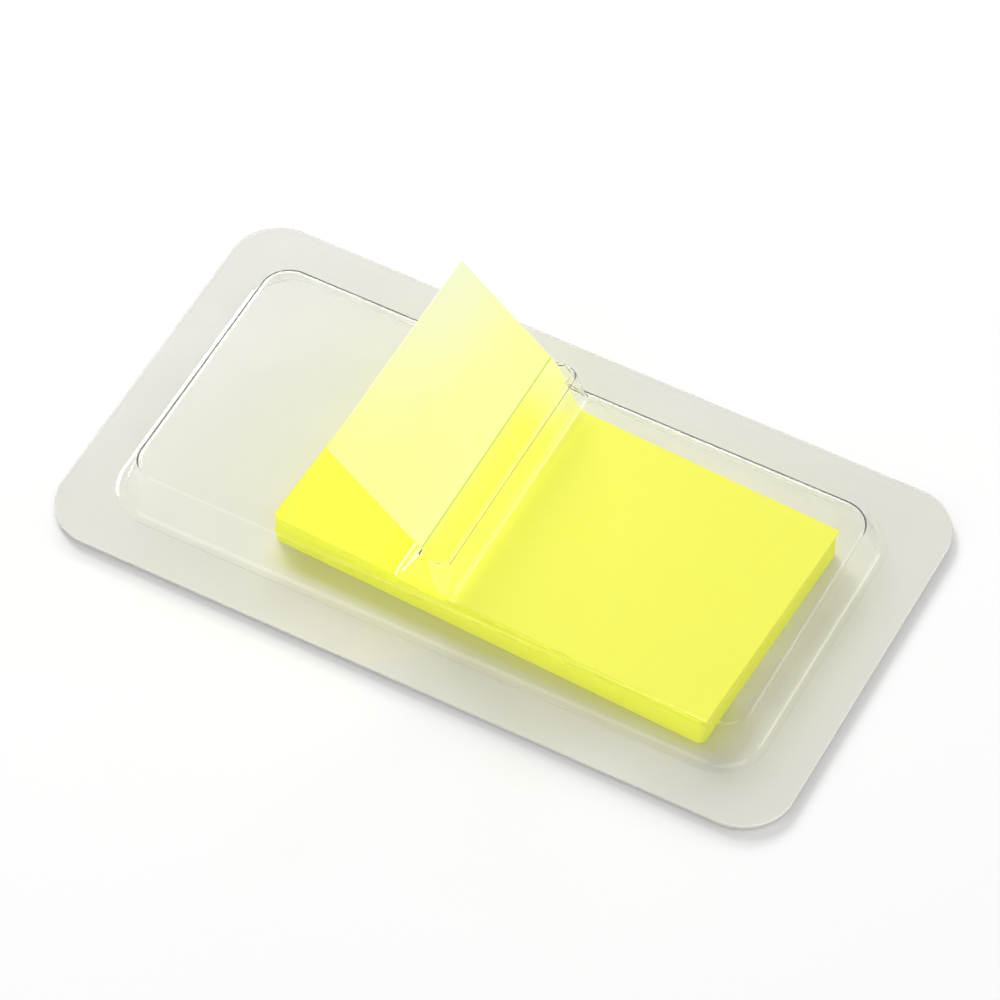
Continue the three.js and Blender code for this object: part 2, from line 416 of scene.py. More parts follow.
@dataclass
class Blister:
    """The clear formed film: flange, dome and cross rib in one sheet, with the slot cut through the rib.

    The seal is how far the flange is pressed into the backing, and each sink is how far a block reaches
    below its base, so that the blocks join.
    """

    wall: float = 0.24
    flange_thickness: float = 0.3
    seal: float = 0.01
    dome_sink: float = 0.25
    rib_sink: float = 0.975
    dome_middle: tuple[float, float] = (-0.2, -0.15)
    flange_border: float = 5.0
    flange_corner: float = 5.0
    dome_rise: float = 3.9
    dome_end_draft: float = 1.4
    dome_side_draft: float = 1.9
    dome_foot_corner: float = 4.2
    dome_top_corner: float = 2.8
    dome_foot_radius: float = 0.9
    dome_edge_radius: float = 0.6
    rib_foot_left: float = -3.85
    rib_foot_right: float = 1.95
    rib_foot_corner: float = 0.9
    rib_right_foot_radius: float = 1.3
    rib_left_foot_radius: float = 0.7
    rib_end_foot_radius: float = 0.1
    rib_edge_radius: float = 0.5
    slot_middle: tuple[float, float] = (-0.52, 0.2)
    slot_half_width: float = 1.05
    slot_half_length: float = 12.92
    lip_margin: float = 0.45
    fillet_steps: int = 8
    corner_segments: int = 16
    low: Vector = field(init=False)
    high: Vector = field(init=False)

    def __post_init__(self) -> None:
        """Take the flange's outline and the lip's height from the frame."""
        self.low, self.high = millimetres("blister_shell")

    @property
    def flange_top(self) -> float:
        """Give the height of the flange's upper face."""
        return self.low.z + self.flange_thickness

    @property
    def dome_top(self) -> float:
        """Give the height of the dome's flat top."""
        return self.flange_top + self.dome_rise

    def dome(self) -> FormedBlock:
        """Describe the dome that stands on the flange.

        Returns:
            The dome's block.
        """
        half_x = self.high.x - self.flange_border
        half_y = self.high.y - self.flange_border
        x, y = self.dome_middle
        end = Wall(self.dome_end_draft, self.dome_rise, self.dome_foot_radius, self.dome_edge_radius)
        side = Wall(self.dome_side_draft, self.dome_rise, self.dome_foot_radius, self.dome_edge_radius)
        return FormedBlock(
            base=self.flange_top,
            rise=self.dome_rise,
            sink=self.dome_sink,
            foot_corner=self.dome_foot_corner,
            top_corner=self.dome_top_corner,
            lines={
                Side.RIGHT: x + half_x,
                Side.BACK: y + half_y,
                Side.LEFT: x - half_x,
                Side.FRONT: y - half_y,
            },
            walls={Side.RIGHT: end, Side.BACK: side, Side.LEFT: end, Side.FRONT: side},
        )

    def rib(self) -> FormedBlock:
        """Describe the rib that crosses the dome's top and leans in to the rim round its slot.

        Returns:
            The rib's block.
        """
        dome = self.dome()
        rise = self.high.z - self.dome_top
        x, y = self.slot_middle
        rim = {
            Side.RIGHT: x + self.slot_half_width + self.lip_margin,
            Side.BACK: y + self.slot_half_length + self.lip_margin,
            Side.LEFT: x - self.slot_half_width - self.lip_margin,
            Side.FRONT: y - self.slot_half_length - self.lip_margin,
        }
        side_wall = dome.walls[Side.BACK]
        flat_inset = side_wall.draft + side_wall.edge_radius / side_wall.spread
        lines = {
            Side.RIGHT: self.rib_foot_right,
            Side.BACK: max(dome.lines[Side.BACK] - flat_inset, rim[Side.BACK]),
            Side.LEFT: self.rib_foot_left,
            Side.FRONT: min(dome.lines[Side.FRONT] + flat_inset, rim[Side.FRONT]),
        }
        feet = {
            Side.RIGHT: self.rib_right_foot_radius,
            Side.BACK: self.rib_end_foot_radius,
            Side.LEFT: self.rib_left_foot_radius,
            Side.FRONT: self.rib_end_foot_radius,
        }
        walls = {
            side: Wall(abs(lines[side] - rim[side]), rise, feet[side], self.rib_edge_radius)
            for side in Side
        }
        return FormedBlock(
            base=self.dome_top,
            rise=rise,
            sink=self.rib_sink,
            foot_corner=self.rib_foot_corner,
            top_corner=self.slot_half_width + self.lip_margin,
            lines=lines,
            walls=walls,
        )

    def flange(self) -> bpy.types.Object:
        """Make the flat flange as a slab, pressed a little into the backing that it is sealed to.

        Returns:
            The slab.
        """
        half_x, half_y = self.high.x, self.high.y
        levels = (self.low.z - self.seal, self.flange_top)
        sections = [Section(half_x, half_y, -half_x, -half_y, self.flange_corner, z) for z in levels]
        return loft("flange", sections, self.corner_segments)

    def slot_cutter(self) -> bpy.types.Object:
        """Make the block that cuts the slot, with round ends.

        Returns:
            The block.
        """
        x, y = self.slot_middle
        half_x, half_y = self.slot_half_width, self.slot_half_length
        corner = half_x * FULL_ROUND
        levels = (self.dome_top, self.high.z + self.wall)
        sections = [Section(x + half_x, y + half_y, x - half_x, y - half_y, corner, z) for z in levels]
        return loft("slot", sections, self.corner_segments)

    def build(self) -> bpy.types.Object:
        """Form the film and cut its slot.

        Returns:
            The shaded shell, without a material.
        """
        dome, rib = self.dome(), self.rib()
        shell = self.flange()
        for block, inset, how in (
            (dome, 0, Join.ADD),
            (rib, 0, Join.ADD),
            (dome, self.wall, Join.CUT),
            (rib, self.wall, Join.CUT),
        ):
            combine(shell, block.build("block", inset, self.fillet_steps, self.corner_segments), how)
        combine(shell, self.slot_cutter(), Join.CUT)
        smooth(shell, SHARP_EDGE)
        return shell


# The backing


@dataclass
class Backing:
    """The flat film that the flange is sealed to."""

    corner: float = 5.0
    edge: float = 0.05
    edge_steps: int = 2
    corner_segments: int = 16
    thickness: float = field(init=False)
    half: Vector = field(init=False)

    def __post_init__(self) -> None:
        """Take the outline and the thickness from the frame."""
        low, high = millimetres("backing_sheet")
        self.thickness = high.z - low.z
        self.half = high

    def build(self) -> bpy.types.Object:
        """Make the sheet with softened cut edges.

        Returns:
            The shaded sheet.
        """
        x, y = self.half.x, self.half.y
        sections = [Section(x, y, -x, -y, self.corner, z) for z in (0, self.thickness)]
        sheet = loft("backing", sections, self.corner_segments)
        apply_modifier(
            sheet,
            "BEVEL",
            width=self.edge * MM,
            segments=self.edge_steps,
            limit_method="ANGLE",
            angle_limit=math.radians(FILM_SHARP_EDGE),
        )
        smooth(sheet, SHARP_EDGE)
        return sheet


# The flags


@dataclass
class FlagPad:
    """The loose pad: film flags stacked head to tail, each shifted a little against the next."""

    length: float = 45.7
    width: float = 25.2
    leaves: int = 28
    gap: float = 0.012
    corner: float = 0.7
    turn: float = -2.5
    middle: tuple[float, float] = (5.85, -0.65)
    shift: tuple[float, float] = (0.06, -0.04)
    jitter: float = 0.02
    seed: int = 7
    corner_segments: int = 4
    bottom: float = field(init=False)
    top: float = field(init=False)

    def __post_init__(self) -> None:
        """Take the pad's place between the backing and the raised flag from the frame."""
        low, high = millimetres("flag_pad")
        self.bottom, self.top = low.z, high.z

    def first_leaf(self, thickness: float) -> bpy.types.Object:
        """Model one leaf round the origin: a plate with rounded corners.

        Args:
            thickness: The leaf's thickness.

        Returns:
            The leaf.
        """
        clear_selection()
        bpy.ops.mesh.primitive_cube_add(size=1, location=(0, 0, 0))
        leaf = bpy.context.object
        edit(leaf)
        bpy.ops.mesh.select_all(action="SELECT")
        size = (self.length * MM, self.width * MM, thickness * MM)
        bpy.ops.transform.resize(value=size, center_override=(0, 0, 0))
        select_edges(leaf, lambda edge: abs(edge.verts[0].co.z - edge.verts[1].co.z) > TOUCH)
        bpy.ops.mesh.bevel(offset=self.corner * MM, segments=self.corner_segments)
        clear_selection()
        return leaf

    def build(self) -> bpy.types.Object:
        """Stack copies of one leaf into the pad.

        Returns:
            The pad as one piece.
        """
        pitch = (self.top - self.bottom) / self.leaves
        first = self.first_leaf(pitch - self.gap)
        rng = random.Random(self.seed)
        copies = []
        for number in range(self.leaves):
            leaf = bpy.data.objects.new("leaf", first.data.copy())
            bpy.context.scene.collection.objects.link(leaf)
            side = 1 if number % 2 == 0 else -1
            wander = [rng.uniform(-self.jitter, self.jitter) for _ in range(2)]
            edit(leaf)
            bpy.ops.mesh.select_all(action="SELECT")
            bpy.ops.transform.translate(
                value=(
                    (self.middle[0] + side * self.shift[0] + wander[0]) * MM,
                    (self.middle[1] + side * self.shift[1] + wander[1]) * MM,
                    (self.top - pitch * (number + 0.5)) * MM - self.gap * MM / 2,
                )
            )
            clear_selection()
            copies.append(leaf)
        bpy.data.objects.remove(first, do_unlink=True)
        clear_selection()
        for leaf in copies:
            leaf.select_set(True)
        bpy.context.view_layer.objects.active = copies[0]
        bpy.ops.object.join()
        pad = copies[0]
        self.turn_about_middle(pad)
        activate(pad)
        bpy.ops.object.shade_smooth_by_angle(angle=math.radians(SHARP_EDGE))
        return pad

    def turn_about_middle(self, pad: bpy.types.Object) -> None:
        """Turn the stacked pad a little about its middle, as it lies in the dome.

        Args:
            pad: The joined pad.
        """
        edit(pad, "VERT")
        bpy.ops.mesh.select_all(action="SELECT")
        centre = Vector((self.middle[0] * MM, self.middle[1] * MM, 0))
        bpy.ops.transform.rotate(
            value=-math.radians(self.turn), orient_axis="Z", center_override=centre
        )
        clear_selection()


@dataclass
class RaisedFlag:
    """The top flag: it lies on the pad, bends up inside the rib and leans out over the slot's left lip."""

    length: float = 46.7
    width: float = 25.0
    film: float = 0.12
    reach: float = 13.68
    angle: float = 42.7
    turn: float = -0.4
    pad_turn: float = -2.5
    pad_slide: float = -0.57
    bend_at: float = 1.0
    bend_radius: float = 2.0
    crest_radius: float = 3.0
    slot_middle: tuple[float, float] = (-0.52, 0.2)
    lip_left: float = -1.57
    lip_clearance: float = 0.42
    arc_steps: int = 12
    straight_step: float = 1.5
    width_steps: int = 16
    lie: float = field(init=False)
    lip: float = field(init=False)

    def __post_init__(self) -> None:
        """Take the pad's top and the lip's height from the frame."""
        self.lie = millimetres("flag_pad")[1].z + self.film / 2
        self.lip = millimetres("blister_shell")[1].z

    def path(self) -> list[Vector]:
        """Work out the film's middle line, seen from the front.

        Returns:
            Points from the tail on the pad to the tip, as x and z.
        """
        angle = math.radians(self.angle)
        away = Vector((math.sin(angle), math.cos(angle)))
        outward = Vector((-math.cos(angle), math.sin(angle)))
        crest = Vector((self.lip_left, self.lip)) + away * (self.lip_clearance + self.film / 2)
        bend = Vector((self.bend_at, self.lie))
        tip = crest + outward * self.reach
        lying = self.length - self.reach - (crest - bend).length
        corners = [Vector((bend.x + lying, self.lie)), bend, crest, tip]
        points = [corners[0]]
        for i, radius in ((1, self.bend_radius), (2, self.crest_radius)):
            points += self.rounded(corners[i - 1], corners[i], corners[i + 1], radius)
        points.append(tip)
        return self.filled(points)

    def rounded(self, before: Vector, corner: Vector, after: Vector, radius: float) -> list[Vector]:
        """Round one corner of the path.

        Args:
            before: The point before the corner.
            corner: The corner.
            after: The point after the corner.
            radius: The bend's radius.

        Returns:
            Points round the bend.
        """
        coming = (corner - before).normalized()
        going = (after - corner).normalized()
        turn = math.atan2(coming.cross(going), coming.dot(going))
        start = corner - coming * radius * math.tan(abs(turn) / 2)
        hand = Vector((-coming.y, coming.x)) * math.copysign(radius, turn)
        centre = start + hand
        points = []
        for step in range(self.arc_steps + 1):
            swing = turn * step / self.arc_steps
            spoke = start - centre
            points.append(
                centre
                + Vector(
                    (
                        spoke.x * math.cos(swing) - spoke.y * math.sin(swing),
                        spoke.x * math.sin(swing) + spoke.y * math.cos(swing),
                    )
                )
            )
        return points

    def filled(self, points: Sequence[Vector]) -> list[Vector]:
        """Add points along the path's straight stretches.

        Args:
            points: The path with its bends.

        Returns:
            The path with no step longer than straight_step.
        """
        path = [points[0]]
        for a, b in zip(points, points[1:]):
            steps = max(1, math.ceil((b - a).length / self.straight_step))
            path += [a.lerp(b, (i + 1) / steps) for i in range(steps)]
        return path

    def build(self) -> bpy.types.Object:
        """Sweep the flag's end edge along the path, twist it and give the film its thickness.

        Returns:
            The shaded film.
        """
        path = self.path()
        clear_selection()
        start = Vector((path[0].x, self.slot_middle[1], path[0].y)) * MM
        bpy.ops.mesh.primitive_plane_add(size=1, location=start)
        flag = bpy.context.object
        activate(flag)
        bpy.ops.object.transform_apply(location=True, rotation=True, scale=True)
        edit(flag, "VERT")
        mesh = bmesh.from_edit_mesh(flag.data)
        for vert in mesh.verts:
            vert.select = vert.co.x > start.x
        mesh.select_flush(True)
        bmesh.update_edit_mesh(flag.data)
        bpy.ops.mesh.delete(type="VERT")
        bpy.ops.mesh.select_all(action="SELECT")
        bpy.ops.transform.resize(value=(0, self.width * MM, 0), center_override=start)
        mesh = bmesh.from_edit_mesh(flag.data)
        for vert in mesh.verts:
            vert.co.x = start.x
        bmesh.update_edit_mesh(flag.data)
        bpy.ops.mesh.subdivide(number_cuts=self.width_steps - 1)
        for a, b in zip(path, path[1:]):
            step = (b - a) * MM
            bpy.ops.mesh.extrude_region_move(TRANSFORM_OT_translate={"value": (step.x, 0, step.y)})
        clear_selection()
        self.twist(flag)
        self.face_outwards(flag)
        apply_modifier(flag, "SOLIDIFY", thickness=self.film * MM, offset=0, use_even_offset=True)
        activate(flag)
        bpy.ops.object.shade_smooth_by_angle(angle=math.radians(FILM_SHARP_EDGE))
        return flag

    def twist(self, flag: bpy.types.Object) -> None:
        """Turn and slide the film from the pad's line to its own between the bend and the lip.

        Args:
            flag: The open sweep.
        """
        middle = Vector((self.slot_middle[0], self.slot_middle[1], 0)) * MM
        for vert in flag.data.vertices:
            share = (self.bend_at - vert.co.x / MM) / (self.bend_at - self.lip_left)
            share = min(max(share, 0), 1)
            share = share * share * (3 - 2 * share)
            turn = math.radians(self.pad_turn + (self.turn - self.pad_turn) * share)
            arm = vert.co - middle
            vert.co.x = middle.x + arm.x * math.cos(turn) - arm.y * math.sin(turn)
            vert.co.y = middle.y + arm.x * math.sin(turn) + arm.y * math.cos(turn)
            vert.co.y += self.pad_slide * (1 - share) * MM

    def face_outwards(self, flag: bpy.types.Object) -> None:
        """Make the sweep's faces agree.

        Args:
            flag: The open sweep.
        """
        edit(flag, "FACE")
        bpy.ops.mesh.select_all(action="SELECT")
        bpy.ops.mesh.normals_make_consistent(inside=False)
        clear_selection()


# Shared node groups


@dataclass
class Nodes:
    """A node tree with short ways to add and link nodes."""

    tree: bpy.types.NodeTree

    def add(self, kind: str, **settings: object) -> bpy.types.Node:
        """Add a node.

        Args:
            kind: The node's type, without the ShaderNode in front.
            **settings: Node properties.

        Returns:
            The node.
        """
        node = self.tree.nodes.new("ShaderNode" + kind)
        for name, value in settings.items():
            setattr(node, name, value)
        return node

    def put(self, node: bpy.types.Node, name: str | int, value: object) -> None:
        """Set an input to a value or link it to an output.

        Args:
            node: The node.
            name: The input's name or number.
            value: A plain value or an output socket.
        """
        if isinstance(value, bpy.types.NodeSocket):
            self.tree.links.new(value, node.inputs[name])
        else:
            node.inputs[name].default_value = value

    def math(self, operation: str, *values: object) -> bpy.types.NodeSocket:
        """Add a Math node.

        Args:
            operation: The operation.
            *values: Its inputs.

        Returns:
            Its output.
        """
        node = self.add("Math", operation=operation)
        for number, value in enumerate(values):
            self.put(node, number, value)
        return node.outputs[0]

    def remap(
        self, value: object, low: float, high: float, to_low: float = 0.0, to_high: float = 1.0
    ) -> bpy.types.NodeSocket:
        """Map a range of values to another one, smoothly and clamped.

        Args:
            value: The value.
            low: The range's start.
            high: The range's end.
            to_low: What the start becomes.
            to_high: What the end becomes.

        Returns:
            The mapped value.
        """
        node = self.add("MapRange", interpolation_type="SMOOTHSTEP")
        for number, item in enumerate((value, low, high, to_low, to_high)):
            self.put(node, number, item)
        return node.outputs[0]

    def blend(self, share: object, first: object, second: object) -> bpy.types.NodeSocket:
        """Mix two colours.

        Args:
            share: How much of the second.
            first: The first colour.
            second: The second colour.

        Returns:
            The mixed colour.
        """
        node = self.add("Mix", data_type="RGBA")
        self.put(node, "Factor", share)
        for name, value in (("A", first), ("B", second)):
            socket = next(s for s in node.inputs if s.name == name and s.type == "RGBA")
            if isinstance(value, bpy.types.NodeSocket):
                self.tree.links.new(value, socket)
            else:
                socket.default_value = (*value, 1)
        return next(s for s in node.outputs if s.type == "RGBA")

    def noise(self, vector: object, scale: object, detail: float) -> bpy.types.NodeSocket:
        """Add a Noise Texture.

        Args:
            vector: Where it is read.
            scale: Its scale per metre.
            detail: Its detail.

        Returns:
            Its value.
        """
        node = self.add("TexNoise")
        self.put(node, "Vector", vector)
        self.put(node, "Scale", scale)
        self.put(node, "Detail", detail)
        return node.outputs[0]


def new_group(
    name: str, inputs: dict[str, str], outputs: dict[str, str]
) -> tuple[Nodes, dict[str, bpy.types.NodeSocket], bpy.types.Node]:
    """Start a shader node group with named sockets.

    Args:
        name: The group's name.
        inputs: Socket names and their types.
        outputs: Socket names and their types.

    Returns:
        The group's nodes, its input sockets by name and its output node.
    """
    tree = bpy.data.node_groups.new(name, "ShaderNodeTree")
    for sockets, way in ((inputs, "INPUT"), (outputs, "OUTPUT")):
        for socket, kind in sockets.items():
            tree.interface.new_socket(socket, in_out=way, socket_type="NodeSocket" + kind)
    nodes = Nodes(tree)
    entry = tree.nodes.new("NodeGroupInput")
    end = tree.nodes.new("NodeGroupOutput")
    return nodes, {socket.name: socket for socket in entry.outputs}, end


def handling_marks() -> bpy.types.NodeTree:
    """Build the group of faint smudges that handling leaves on film.

    Returns:
        The group, with a Smudge mask.
    """
    nodes, given, end = new_group(
        "handling marks", {"Vector": "Vector", "Scale": "Float"}, {"Smudge": "Float"}
    )
    cloud = nodes.noise(given["Vector"], given["Scale"], SMUDGE_DETAIL)
    nodes.put(end, "Smudge", nodes.remap(cloud, SMUDGE_START, SMUDGE_FULL))
    return nodes.tree


def film_ripple() -> bpy.types.NodeTree:
    """Build the group of slow waves that forming or handling leaves in a thin film.

    Returns:
        The group, with a Height in metres.
    """
    nodes, given, end = new_group(
        "film ripple",
        {"Vector": "Vector", "Scale": "Float", "Depth": "Float"},
        {"Height": "Float"},
    )
    wave = nodes.noise(given["Vector"], given["Scale"], RIPPLE_DETAIL)
    nodes.put(end, "Height", nodes.math("MULTIPLY", wave, given["Depth"]))
    return nodes.tree


@dataclass(frozen=True)
class Groups:
    """The node groups that the finishes share."""

    marks: bpy.types.NodeTree
    ripple: bpy.types.NodeTree


# Finishes


@dataclass(frozen=True)
class Pattern:
    """How many smudges and waves a film has per metre, and how deep the waves are, in metres."""

    smudges: float
    waves: float
    depth: float


@dataclass(frozen=True)
class Finish:
    """What every finish shares: its groups, its wear and a way to start a material."""

    groups: Groups
    pattern: Pattern
    roughness: float
    smudged: float

    def start(self, name: str) -> tuple[bpy.types.Material, Nodes, bpy.types.Node, bpy.types.Node]:
        """Start a node material with a Principled shader.

        Args:
            name: The material's name.

        Returns:
            The material, its nodes, the shader and the output.
        """
        material = bpy.data.materials.new(name)
        material.use_nodes = True
        tree = material.node_tree
        tree.nodes.clear()
        nodes = Nodes(tree)
        shader = nodes.add("BsdfPrincipled")
        output = nodes.add("OutputMaterial")
        tree.links.new(shader.outputs[0], output.inputs["Surface"])
        return material, nodes, shader, output

    def wear(self, nodes: Nodes, shader: bpy.types.Node, here: object) -> bpy.types.NodeSocket:
        """Roughen a film where hands have smudged it, and ripple its surface.

        Args:
            nodes: The material's nodes.
            shader: The Principled shader.
            here: The Object coordinates.

        Returns:
            The mask of the smudges.
        """
        marks = nodes.add("Group", node_tree=self.groups.marks)
        nodes.put(marks, "Vector", here)
        nodes.put(marks, "Scale", self.pattern.smudges)
        smudge = marks.outputs["Smudge"]
        nodes.put(shader, "Roughness", nodes.remap(smudge, 0.0, 1.0, self.roughness, self.smudged))
        ripple = nodes.add("Group", node_tree=self.groups.ripple)
        nodes.put(ripple, "Vector", here)
        nodes.put(ripple, "Scale", self.pattern.waves)
        nodes.put(ripple, "Depth", self.pattern.depth)
        bump = nodes.add("Bump")
        nodes.put(bump, "Distance", 1.0)
        nodes.put(bump, "Height", ripple.outputs["Height"])
        nodes.put(shader, "Normal", bump.outputs["Normal"])
        return smudge


@dataclass(frozen=True)
class ClearFilm(Finish):
    """Clear formed film that bends light a little and mirrors the studio.

    The bend is its index of refraction, set low so that its veil over the pad stays weak, and what is
    passed is the light that lamps and soft light send through it.
    """

    tint: Colour = (0.985, 0.988, 0.97)
    passed: Colour = (0.934, 0.936, 0.924)
    clarity: float = 0.985
    bend: float = 1.42
    pattern: Pattern = Pattern(90.0, 90.0, 0.00001)
    roughness: float = 0.02
    smudged: float = 0.06

    def build(self) -> bpy.types.Material:
        """Make the material, which lets lamps and soft light through to the pad.

        Returns:
            The material.
        """
        material, nodes, shader, output = self.start("clear_film")
        here = nodes.add("TexCoord").outputs["Object"]
        nodes.put(shader, "Base Color", (*self.tint, 1))
        nodes.put(shader, "Transmission Weight", self.clarity)
        nodes.put(shader, "IOR", self.bend)
        self.wear(nodes, shader, here)
        path = nodes.add("LightPath")
        clear = nodes.add("BsdfTransparent")
        nodes.put(clear, "Color", (*self.passed, 1))
        surface = shader.outputs[0]
        for ray in ("Is Shadow Ray", "Is Diffuse Ray"):
            mix = nodes.add("MixShader")
            nodes.put(mix, 0, path.outputs[ray])
            nodes.put(mix, 1, surface)
            nodes.put(mix, 2, clear.outputs[0])
            surface = mix.outputs[0]
        nodes.put(output, "Surface", surface)
        return material


@dataclass(frozen=True)
class MilkyFilm(Finish):
    """Pale milky backing film, cooler at its left, with the pad's light painted on: a warmer tint at the
    front right and a yellow bounce with shade before the pad.
    """

    cool: Colour = (0.80, 0.788, 0.76)
    # Painted yellow light from the pad: a warmer tint towards the front right.
    warm_painted_light: Colour = (0.80, 0.778, 0.712)
    haze: Colour = (0.92, 0.92, 0.90)
    # Painted yellow bounce light and shade before and beside the pad.
    painted_pad_light: Colour = (0.66, 0.66, 0.14)
    painted_pad_light_strength: float = 0.8
    painted_pad_light_front: Span = (-2.0, -0.1)
    painted_pad_light_back: Span = (3.0, 6.0)
    painted_pad_light_left: Span = (-1.0, 4.0)
    painted_pad_light_right: Span = (-3.0, 3.0)
    painted_light_way: Span = (0.6, -0.8)
    painted_light_range: Span = (-24.0, 26.0)
    haze_share: float = 0.4
    pattern: Pattern = Pattern(60.0, 220.0, 0.00001)
    roughness: float = 0.45
    smudged: float = 0.6

    def build(self) -> bpy.types.Material:
        """Make the material.

        Returns:
            The material.
        """
        material, nodes, shader, _ = self.start("milky_film")
        here = nodes.add("TexCoord").outputs["Object"]
        split = nodes.add("SeparateXYZ")
        nodes.put(split, 0, here)
        # Paint the pad's yellow light as a warmer tint towards the front right.
        along = nodes.math("MULTIPLY", split.outputs["X"], self.painted_light_way[0])
        slant = nodes.math("MULTIPLY_ADD", split.outputs["Y"], self.painted_light_way[1], along)
        share = nodes.remap(slant, self.painted_light_range[0] * MM, self.painted_light_range[1] * MM)
        base = nodes.blend(share, self.cool, self.warm_painted_light)
        faint = nodes.math("MULTIPLY", self.wear(nodes, shader, here), self.haze_share)
        marked = nodes.blend(faint, base, self.haze)
        # Paint the pad's yellow bounce light and shade on the backing round the pad's outline.
        low, high = millimetres("flag_pad")
        painted_pad_light_share: object = self.painted_pad_light_strength
        for axis, edge, (start, end), first, last in (
            ("Y", low.y, self.painted_pad_light_front, 0.0, 1.0),
            ("Y", low.y, self.painted_pad_light_back, 1.0, 0.0),
            ("X", low.x, self.painted_pad_light_left, 0.0, 1.0),
            ("X", high.x, self.painted_pad_light_right, 1.0, 0.0),
        ):
            near = nodes.remap(split.outputs[axis], (edge + start) * MM, (edge + end) * MM, first, last)
            painted_pad_light_share = nodes.math("MULTIPLY", near, painted_pad_light_share)
        nodes.put(shader, "Base Color", nodes.blend(painted_pad_light_share, marked, self.painted_pad_light))
        return material


@dataclass(frozen=True)
class PadFilm(Finish):
    """Yellow flag film in a stack, deeper on its cut sides, with painted light: a glow, bounce, a lime
    shade band and the raised flag's yellow left of the slot.
    """

    face: Colour = PAD_YELLOW
    # Painted reflection of the raised flag's yellow light: a deeper yellow on the pad left of the slot.
    painted_flag_light_face: Colour = (0.96, 0.975, 0.004)
    side: Colour = (0.90, 0.95, 0.004)
    # Painted shade: a darker lime band along the top of the pad's front side.
    painted_shade_lime: Colour = (0.78, 0.88, 0.0)
    painted_shade_depth: float = 0.9
    # Painted bounce light on the pad's flat faces, given as emission.
    painted_bounce: Colour = (0.13, 0.13, 0.0)
    # Painted glow: emission that lights the pad's sides as lamps would, less on the ends and at the foot,
    # where painted shade falls.
    glow: float = 0.45
    painted_end_glow: float = 0.45
    painted_foot_glow: float = 0.6
    shine: float = 0.15
    flat_range: Span = (0.4, 0.9)
    front_range: Span = (-0.9, -0.4)
    painted_end_glow_range: Span = (0.3, 0.8)
    right_range: Span = (-4.0, 2.0)
    pattern: Pattern = Pattern(110.0, 180.0, 0.00001)
    roughness: float = 0.45
    smudged: float = 0.5

    def build(self) -> bpy.types.Material:
        """Make the material.

        Returns:
            The material.
        """
        material, nodes, shader, _ = self.start("pad_film")
        here = nodes.add("TexCoord").outputs["Object"]
        facing = nodes.add("SeparateXYZ")
        nodes.put(facing, 0, nodes.add("NewGeometry").outputs["Normal"])
        spot = nodes.add("SeparateXYZ")
        nodes.put(spot, 0, here)
        flat = nodes.remap(nodes.math("ABSOLUTE", facing.outputs["Z"]), *self.flat_range)
        # Paint the pad's face deeper yellow left of the slot, for the raised flag's light over it.
        right_low, right_high = self.right_range
        right_part = nodes.remap(spot.outputs["X"], right_low * MM, right_high * MM)
        face = nodes.blend(right_part, self.painted_flag_light_face, self.face)
        low, high = millimetres("flag_pad")
        # Paint shade as a lime band along the top of the pad's front side.
        line_low = (high.z - self.painted_shade_depth) * MM
        line_high = (high.z - self.painted_shade_depth / 2) * MM
        painted_shade_band = nodes.remap(spot.outputs["Z"], line_low, line_high)
        forward = nodes.remap(facing.outputs["Y"], *self.front_range, 1.0, 0.0)
        painted_shade_line = nodes.math("MULTIPLY", nodes.math("MULTIPLY", painted_shade_band, forward), right_part)
        side = nodes.blend(painted_shade_line, self.side, self.painted_shade_lime)
        nodes.put(shader, "Base Color", nodes.blend(flat, side, face))
        nodes.put(shader, "Specular IOR Level", self.shine)
        # Paint glow on the pad's sides, less on its ends and towards its foot, where painted shade falls.
        endwards = nodes.math("ABSOLUTE", facing.outputs["X"])
        painted_end_glow_share = nodes.remap(endwards, *self.painted_end_glow_range, 1.0, self.painted_end_glow)
        above = nodes.remap(spot.outputs["Z"], low.z * MM, high.z * MM, self.painted_foot_glow, 1.0)
        painted_side_glow = nodes.blend(nodes.math("MULTIPLY", painted_end_glow_share, above), BLACK, side)
        nodes.put(shader, "Emission Color", nodes.blend(flat, painted_side_glow, self.painted_bounce))
        nodes.put(shader, "Emission Strength", self.glow)
        self.wear(nodes, shader, here)
        return material


